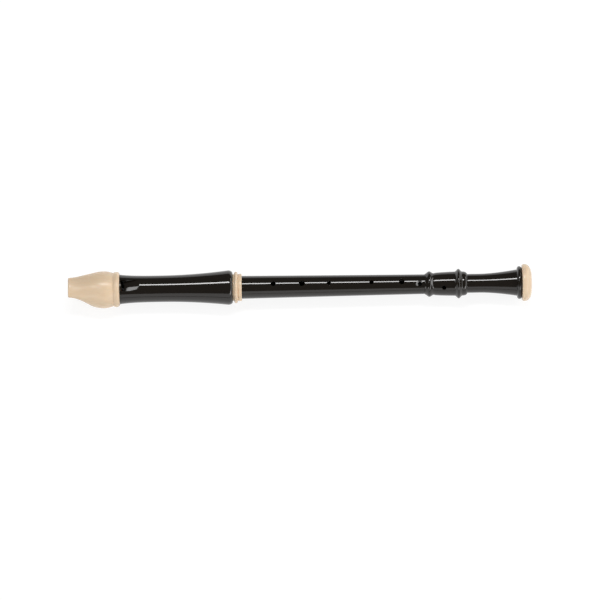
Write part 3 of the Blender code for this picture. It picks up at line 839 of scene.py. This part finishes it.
def beak_form(beak, end, steps=72, tip_steps=8):
    """The solid outer form of the beak, carried on to a place past its bead."""
    rounding = beak.tip_rounding
    insets = [(0.0, rounding + rounding / 6)]  # the face of the tip starts a little further in
    for share in shares(tip_steps):
        turn = QUARTER_TURN * share
        insets.append((rounding * (1 - math.cos(turn)), rounding * (1 - math.sin(turn))))
    insets += [(between(rounding, beak.crest, share), 0.0) for share in shares(steps)[1:]]
    shapes = []
    for station, inset in insets:
        side, top, underside = beak_section(beak, station)
        shapes.append((station, side - inset, top - inset, underside + inset))
    length = BEAK_END_X - TIP_X
    bead_start = length - beak.bead_length
    back = flare(beak.crest, beak.crest_radius, bead_start, beak.groove_radius, beak.back_curve)
    back += bead(bead_start, length, beak.groove_radius, beak.end_radius, beak.bead_radius)
    inner = beak.end_radius * 3 / 4  # so that the face of the end has a margin to ease
    back.append((end - TIP_X, beak.end_radius) if end > BEAK_END_X else (length, inner))
    surface = bpy.context.scene.recorder_surface
    for station, radius, _ in eased(back, surface.edge, closed=False)[1:]:
        shapes.append((station, radius, radius, -radius))
    rings = []
    for station, side, top, underside in shapes:
        centre = (top + underside) / 2 * ROUND_SHARE
        half_height = (top - underside) / 2 * ROUND_SHARE
        rings.append(oval(TIP_X + station, side * ROUND_SHARE, half_height, centre, surface.segments))
    return rings


def circle(radius, sides):
    """Points round a hole, as their places along the bore and across it."""
    turns = [FULL_TURN * index / sides for index in range(sides)]
    return [(radius * math.cos(turn), radius * math.sin(turn)) for turn in turns]


def radial_cutter(name, x, turn, rings):
    """A cutter through rings drawn about the vertical, set at its place and turned about the bore."""
    lean = Matrix.Translation((x, 0, AXIS_HEIGHT)) @ Matrix.Rotation(turn, 4, "X")
    return skinned(name, [[lean @ Vector(point) for point in points] for points in rings])


def hole_cutter(x, diameter, turn, outside, rim, sides=64, steps=6):
    """A round hole from the middle of the bore outwards, whose eased rim follows the round tube."""
    radius = diameter / 2
    profile = [(radius, -rim)]
    for share in shares(steps)[1:-1]:
        bend = QUARTER_TURN * share
        profile.append((radius + rim * (1 - math.cos(bend)), rim * (math.sin(bend) - 1)))
    profile += [(radius + rim, ON_SURFACE / 4), (radius + rim + ON_SURFACE, 2 * rim)]
    rings = [[(along, across, 0.0) for along, across in circle(radius, sides)]]
    for wide, depth in profile:
        points = []
        for along, across in circle(wide, sides):
            height = math.sqrt(outside(x + along) ** 2 - across**2) + depth
            points.append((along, across, height))
        rings.append(points)
    return radial_cutter("hole", x, turn, rings)


def dish_cutter(x, diameter, turn, outside, dish_radius, depth, sides=96):
    """A cone that sinks a dished rim round a hole, wide enough at its top to clear the tube."""
    radius = diameter / 2
    slope = (dish_radius - radius) / depth
    rings = []
    for rise in (-depth / 4, 2 * depth):  # from a little under its floor to clear of the tube
        height = outside(x) - depth + rise
        wide = max(radius + slope * rise, 0)
        rings.append([(along, across, height) for along, across in circle(wide, sides)])
    return radial_cutter("dish", x, turn, rings)


def joined(meshes):
    """Several closed meshes that don't touch, as one."""
    bm = bmesh.new()
    for mesh in meshes:
        bm.from_mesh(mesh)
    whole = bpy.data.meshes.new("joined")
    bm.to_mesh(whole)
    bm.free()
    return whole


def radius_at(outline):
    """A function of X that gives the radius of the fine surface of a tube's outside."""
    points = sorted(outline)

    def radius(x):
        for (x0, r0), (x1, r1) in zip(points, points[1:]):
            if x0 <= x <= x1:
                return between(r0, r1, (x - x0) / (x1 - x0)) * ROUND_SHARE
        return (points[0] if x < points[0][0] else points[-1])[1] * ROUND_SHARE

    return radius


class RECORDER_OT_beak(bpy.types.Operator):
    """Build the ivory beak, scooped under the lips and bored for the block and the tube"""

    bl_idname = "recorder.beak"
    bl_label = "Beak"
    bl_options = {"REGISTER", "UNDO"}

    def execute(self, context):
        beak = context.scene.recorder_beak
        head = context.scene.recorder_head
        form = skinned("beak", beak_form(beak, BEAK_END_X), ivory())
        bore = bar(head.bore * ROUND_SHARE, TIP_X - head.bore, BEAK_END_X)
        seat = bar(head.spigot_radius + GAP, SPIGOT_X - GAP, BEAK_END_X + head.bore)
        mesh = cut(form, [bore, seat, windway(beak, head)])
        show("beak", keep_smooth(mesh, form), "head_joint")
        return {"FINISHED"}


class RECORDER_OT_block(bpy.types.Operator):
    """Build the block that closes the bore under the windway"""

    bl_idname = "recorder.block"
    bl_label = "Block"
    bl_options = {"REGISTER", "UNDO"}

    def execute(self, context):
        beak = context.scene.recorder_beak
        head = context.scene.recorder_head
        end = TIP_X + head.window
        form = skinned("block", beak_form(beak, end + head.window_length), ivory())
        plug = bar(head.bore * ROUND_SHARE - GAP, TIP_X - head.bore, end)
        mesh = cut(cut(form, [plug], "INTERSECT"), [windway(beak, head)])
        show("block", keep_smooth(mesh, form), "head_joint")
        return {"FINISHED"}


class RECORDER_OT_head(bpy.types.Operator):
    """Build the black tube of the head with its window and ramp"""

    bl_idname = "recorder.head"
    bl_label = "Head"
    bl_options = {"REGISTER", "UNDO"}

    def execute(self, context):
        head = context.scene.recorder_head
        middle = context.scene.recorder_middle
        neck = BEAK_END_X + SEAM
        waist = TIP_X + head.waist
        sleeve_start = HEAD_RING_X - SEAM
        sleeve_end = HEAD_END_X - head.ring_lip - GAP
        swell = sleeve_start - head.swell_rounding
        socket = middle.upper_tenon + GAP
        sleeve = socket + head.sleeve_wall
        floor = UPPER_TENON_X - GAP
        outline = [(SPIGOT_X, head.spigot_radius), (neck, head.spigot_radius)]
        outline += flare(waist, head.waist_radius, neck, head.neck_radius, head.neck_curve)[::-1]
        outline += flare(waist, head.waist_radius, swell, head.swell_radius, head.swell_curve)
        outline += quarter_round(swell, head.swell_radius, sleeve_start, head.swell_foot)
        outline += [(sleeve_start, sleeve), (sleeve_end, sleeve), (sleeve_end, socket)]
        outline += [(floor, socket), (floor, head.bore), (SPIGOT_X, head.bore)]
        shell = turned("head_body", outline, black())
        tools = [windway(context.scene.recorder_beak, head), self.window(head), self.ramp(head)]
        show("head_body", keep_smooth(cut(shell, tools), shell), "head_joint")
        return {"FINISHED"}

    def window(self, head):
        """A square-sided well from the outside down into the bore."""
        start = TIP_X + head.window
        half = head.window_width / 2
        low = AXIS_HEIGHT + head.bore / 2
        top = 3 * AXIS_HEIGHT
        rings = []
        for x in (start, start + head.window_length):
            rings.append([(x, -half, low), (x, half, low), (x, half, top), (x, -half, top)])
        return skinned("window", rings)

    def ramp(self, head):
        """The arched slope from the labium up to the outside of the tube."""
        labium = TIP_X + head.window + head.window_length
        end = labium + head.ramp_length
        low = head.bore + head.labium
        share = 1 - (end - BEAK_END_X) / (TIP_X + head.waist - BEAK_END_X)
        surface = between(head.waist_radius, head.neck_radius, share**head.neck_curve)
        slope = (surface - low) / head.ramp_length
        start = labium - head.window_length / 5  # inside the window, so that no skin is left there
        past = end + head.ramp_length / 2  # clear of the outside of the tube
        lower = (low + slope * (start - labium), low + slope * (past - labium))
        top = (2 * AXIS_HEIGHT, 2 * AXIS_HEIGHT)
        return arched_bar(start, past, head.window_width, lower, top, head.ramp_arch, head.ramp_arch)


class RECORDER_OT_head_ring(bpy.types.Operator):
    """Build the ivory ring round the socket of the head"""

    bl_idname = "recorder.head_ring"
    bl_label = "Head Ring"
    bl_options = {"REGISTER", "UNDO"}

    def execute(self, context):
        head = context.scene.recorder_head
        bead_start = HEAD_RING_X + head.ring_bead_offset
        bead_end = bead_start + head.ring_bead_length
        groove_end = bead_end + head.ring_groove_length
        band_start = groove_end + head.ring_chamfer
        band_end = HEAD_END_X - head.ring_chamfer
        socket = context.scene.recorder_middle.upper_tenon + GAP
        seat = socket + head.sleeve_wall + GAP
        lip = HEAD_END_X - head.ring_lip
        outline = [(HEAD_RING_X, head.ring_start_radius)]
        outline += bead(bead_start, bead_end, head.ring_start_radius, head.ring_groove, head.ring_crest)
        outline += [(groove_end, head.ring_groove), (band_start, head.ring_band)]
        outline += [(band_end, head.ring_band), (HEAD_END_X, head.ring_band - head.ring_chamfer)]
        outline += [(HEAD_END_X, socket), (lip, socket), (lip, seat), (HEAD_RING_X, seat)]
        show("head_ring", turned("head_ring", outline, ivory()), "head_collar")
        return {"FINISHED"}


class RECORDER_OT_middle(bpy.types.Operator):
    """Build the middle joint with its finger holes, thumb hole and grooved tenons"""

    bl_idname = "recorder.middle"
    bl_label = "Middle Joint"
    bl_options = {"REGISTER", "UNDO"}

    def execute(self, context):
        middle = context.scene.recorder_middle
        chamfer = middle.tenon_chamfer
        tube = flare(MIDDLE_END_X, middle.end_radius, MIDDLE_X, middle.top_radius, middle.taper, steps=60)
        lower, lower_grooves = self.tenon(middle, LOWER_TENON_X - chamfer, MIDDLE_END_X, middle.lower_tenon)
        upper, upper_grooves = self.tenon(middle, MIDDLE_X, UPPER_TENON_X + chamfer, middle.upper_tenon)
        outline = [(LOWER_TENON_X, middle.lower_tenon - chamfer), *lower, *tube, *upper]
        outline += [(UPPER_TENON_X, middle.upper_tenon - chamfer), (UPPER_TENON_X, middle.bore_top)]
        outline += [(LOWER_TENON_X, middle.bore_end)]
        shell = turned("middle_body", outline, black(), [lower_grooves, upper_grooves])
        outside = radius_at(tube)
        rim = context.scene.recorder_surface.rim
        thumb = MIDDLE_X + middle.thumb_hole
        holes = []
        dishes = []
        for finger, offset, diameter, turn in FINGER_HOLES:
            hole = (MIDDLE_X + offset, diameter, turn, outside)
            holes.append(hole_cutter(*hole, rim))
            if finger == DISHED:
                dishes.append(dish_cutter(*hole, middle.dish_radius, middle.dish_depth))
        holes.append(hole_cutter(thumb, middle.thumb_diameter, math.pi, outside, rim))
        mesh = cut(shell, [joined(holes), *dishes])
        show("middle_body", keep_smooth(mesh, shell), "middle_joint")
        return {"FINISHED"}

    def tenon(self, middle, start, end, radius):
        """The plain run of a tenon in steps fine enough for its grooves, and what the groove nodes need."""
        grooves = {
            "Centre": (start + end) / 2,
            "Count": middle.groove_count,
            "Pitch": middle.groove_pitch,
            "Width": middle.groove_width,
            "Depth": middle.groove_depth,
            "Tenon Radius": radius * ROUND_SHARE,
        }
        step = middle.groove_width / 6
        return straight(start, end, radius, round(abs(end - start) / step)), grooves


class RECORDER_OT_foot(bpy.types.Operator):
    """Build the foot joint, turned so that its hole meets the little finger"""

    bl_idname = "recorder.foot"
    bl_label = "Foot"
    bl_options = {"REGISTER", "UNDO"}

    def execute(self, context):
        foot = context.scene.recorder_foot
        middle = context.scene.recorder_middle
        bead_end = FOOT_X + foot.bead_length
        bulge_end = bead_end + foot.bulge_length
        collar_end = bulge_end + foot.collar_length
        shoulder_end = collar_end + foot.shoulder_length
        rounding_end = shoulder_end + foot.shoulder_rounding
        waist = FOOT_X + foot.waist
        last_bead_end = FOOT_RING_X - SEAM
        bell_end = last_bead_end - foot.last_bead_length
        spigot_end = FOOT_END_X - foot.ring_lip - GAP
        socket = middle.lower_tenon + GAP
        floor = LOWER_TENON_X + GAP
        bulge = flare(bead_end, foot.bulge_start, bulge_end, foot.bulge_end, foot.bulge_curve)
        outline = ridge(FOOT_X, bead_end, foot.mouth_radius, foot.bulge_start, foot.bead_radius)
        outline += bulge
        outline += ridge(bulge_end, collar_end, foot.bulge_end, foot.shoulder_radius, foot.collar_radius)
        outline += quarter_round(shoulder_end, foot.shoulder_radius, rounding_end, foot.waist_radius)
        outline += flare(waist, foot.waist_radius, bell_end, foot.bell_radius, foot.bell_curve)
        outline += bead(bell_end, last_bead_end, foot.bell_radius, foot.bell_radius, foot.last_bead_radius)
        outline += [(last_bead_end, foot.spigot_radius), (spigot_end, foot.spigot_radius)]
        outline += [(spigot_end, bell_radius(foot, spigot_end))]
        outline += [(FOOT_END_X - foot.bell_bore_length, foot.bore)]
        outline += [(floor, middle.bore_end), (floor, socket), (FOOT_X, socket)]
        shell = turned("foot_body", outline, black())
        rim = context.scene.recorder_surface.rim
        hole = hole_cutter(FOOT_X + foot.hole, foot.hole_diameter, foot.turn, radius_at(bulge), rim)
        show("foot_body", keep_smooth(cut(shell, [hole]), shell), "foot_joint")
        return {"FINISHED"}


def bell_radius(foot, x):
    """Radius of the bore of the bell."""
    return between(foot.bell_bore, foot.bore, (FOOT_END_X - x) / foot.bell_bore_length)


class RECORDER_OT_foot_ring(bpy.types.Operator):
    """Build the domed ivory ring on the end of the foot"""

    bl_idname = "recorder.foot_ring"
    bl_label = "Foot Ring"
    bl_options = {"REGISTER", "UNDO"}

    def execute(self, context):
        foot = context.scene.recorder_foot
        lip = FOOT_END_X - foot.ring_lip
        seat = foot.spigot_radius + GAP
        crest = FOOT_RING_X + foot.ring_crest
        outline = quarter_round(crest, foot.ring_radius, FOOT_RING_X, foot.ring_start)[::-1]
        outline += quarter_round(crest, foot.ring_radius, FOOT_END_X, foot.face_radius, steps=24)
        outline += [(FOOT_END_X, foot.bell_bore), (lip, bell_radius(foot, lip))]
        outline += [(lip, seat), (FOOT_RING_X, seat)]
        show("foot_ring", turned("foot_ring", outline, ivory()), "foot_collar")
        return {"FINISHED"}


def aim(place, target):
    """A rotation that looks from a place to a target."""
    return (Vector(target) - Vector(place)).to_track_quat("-Z", "Y")


def add_softbox(name, azimuth, elevation, distance, width, height, radiance):
    """A soft lamp seen from the instrument at an azimuth and elevation, with its radiance as it is seen."""
    lamp = bpy.data.lights.new(name, "AREA")
    lamp.shape = "RECTANGLE"
    lamp.size = width
    lamp.size_y = height
    lamp.energy = radiance * math.pi * width * height
    turn = math.radians(azimuth)
    rise = math.radians(elevation)
    direction = Vector((math.sin(turn) * math.cos(rise), -math.cos(turn) * math.cos(rise), math.sin(rise)))
    target = Vector((0.0, 0.0, AXIS_HEIGHT))
    holder = new_object(name, lamp)
    holder.location = target + direction * distance
    holder.rotation_euler = aim(holder.location, target).to_euler()


class RECORDER_OT_studio(bpy.types.Operator):
    """Set the recorder on a white floor under soft lamps, and place the camera"""

    bl_idname = "recorder.studio"
    bl_label = "Studio"
    bl_options = {"REGISTER", "UNDO"}

    def execute(self, context):
        scene = context.scene
        studio = scene.recorder_studio
        scene.view_settings.view_transform = "Standard"
        self.floor(studio)
        scene.world = self.room(studio)
        for softbox in SOFTBOXES:
            add_softbox(*softbox)
        scene.camera = self.camera(studio)
        return {"FINISHED"}

    def floor(self, studio):
        """A white floor that keeps shadows and shows as white."""
        half = studio.floor_size / 2
        mesh = bpy.data.meshes.new("floor")
        corners = [(-half, -half, 0.0), (half, -half, 0.0), (half, half, 0.0), (-half, half, 0.0)]
        mesh.from_pydata(corners, [], [(0, 1, 2, 3)])
        white = Finish("floor_white", studio.floor_colour, Roughness=1.0, Specular_IOR_Level=0.0)
        seen = white.is_ray("Camera", "Glossy", "Transmission")
        colour = white.mix(seen, (*studio.floor_colour, 1.0), (*studio.seen_colour, 1.0))
        white.surface(Emission_Color=WHITE, Emission_Strength=seen * studio.floor_glow)
        mesh.materials.append(white.surface(Base_Color=colour))
        new_object("floor", mesh)

    def room(self, studio):
        """White behind the floor, seen directly or through a clear piece, and a dim room for the rest."""
        world = bpy.data.worlds.new("studio")
        world.use_nodes = True
        graph = Graph(world.node_tree)
        seen = graph.is_ray("Camera", "Transmission")
        colour = graph.mix(seen, (*studio.room_colour, 1.0), WHITE)
        graph.plug(world.node_tree.nodes["Background"].inputs["Color"], colour)
        return world

    def camera(self, studio):
        """The camera looks down on the finger holes, a little from the player's right."""
        lens = bpy.data.cameras.new("camera")
        lens.sensor_width = SENSOR_WIDTH
        lens.lens = SENSOR_WIDTH * studio.distance / studio.view_width
        lens.clip_end = 4 * studio.floor_size
        sine = math.sin(studio.elevation)
        cosine = math.cos(studio.elevation)
        upwards = Vector((0.0, sine, cosine))
        target = Vector((-studio.view_shift, 0.0, AXIS_HEIGHT)) - upwards * studio.view_drop
        holder = new_object("camera", lens)
        holder.location = target + Vector((0.0, -cosine, sine)) * studio.distance
        lean = Euler((0.0, 0.0, studio.roll)).to_quaternion()
        holder.rotation_euler = (aim(holder.location, target) @ lean).to_euler()
        return holder


class RECORDER_PT_panel(bpy.types.Panel):
    """Buttons for the pieces and the studio, and the sizes that they are built from"""

    bl_idname = "RECORDER_PT_panel"
    bl_label = "Tenor Recorder"
    bl_space_type = "VIEW_3D"
    bl_region_type = "UI"
    bl_category = "Recorder"

    def draw(self, context):
        column = self.layout.column()
        for operator in OPERATORS:
            column.operator(operator.bl_idname)
        for name in GROUPS:
            box = column.box()
            group = getattr(context.scene, name)
            box.label(text=name.replace("_", " ").title())
            for key in group.__annotations__:
                box.prop(group, key)


GROUPS = {
    "recorder_surface": RECORDER_PG_surface,
    "recorder_beak": RECORDER_PG_beak,
    "recorder_head": RECORDER_PG_head,
    "recorder_middle": RECORDER_PG_middle,
    "recorder_foot": RECORDER_PG_foot,
    "recorder_finish": RECORDER_PG_finish,
    "recorder_studio": RECORDER_PG_studio,
}
OPERATORS = (
    RECORDER_OT_beak,
    RECORDER_OT_block,
    RECORDER_OT_head,
    RECORDER_OT_head_ring,
    RECORDER_OT_middle,
    RECORDER_OT_foot,
    RECORDER_OT_foot_ring,
    RECORDER_OT_studio,
)


def register():
    for name, group in GROUPS.items():
        bpy.utils.register_class(group)
        setattr(bpy.types.Scene, name, PointerProperty(type=group))
    for operator in OPERATORS:
        bpy.utils.register_class(operator)
    bpy.utils.register_class(RECORDER_PT_panel)


def unregister():
    bpy.utils.unregister_class(RECORDER_PT_panel)
    for operator in reversed(OPERATORS):
        bpy.utils.unregister_class(operator)
    for name, group in reversed(GROUPS.items()):
        delattr(bpy.types.Scene, name)
        bpy.utils.unregister_class(group)


def main():
    register()
    bpy.ops.recorder.beak()
    bpy.ops.recorder.block()
    bpy.ops.recorder.head()
    bpy.ops.recorder.head_ring()
    bpy.ops.recorder.middle()
    bpy.ops.recorder.foot()
    bpy.ops.recorder.foot_ring()
    bpy.ops.recorder.studio()


if __name__ == "__main__":
    main()
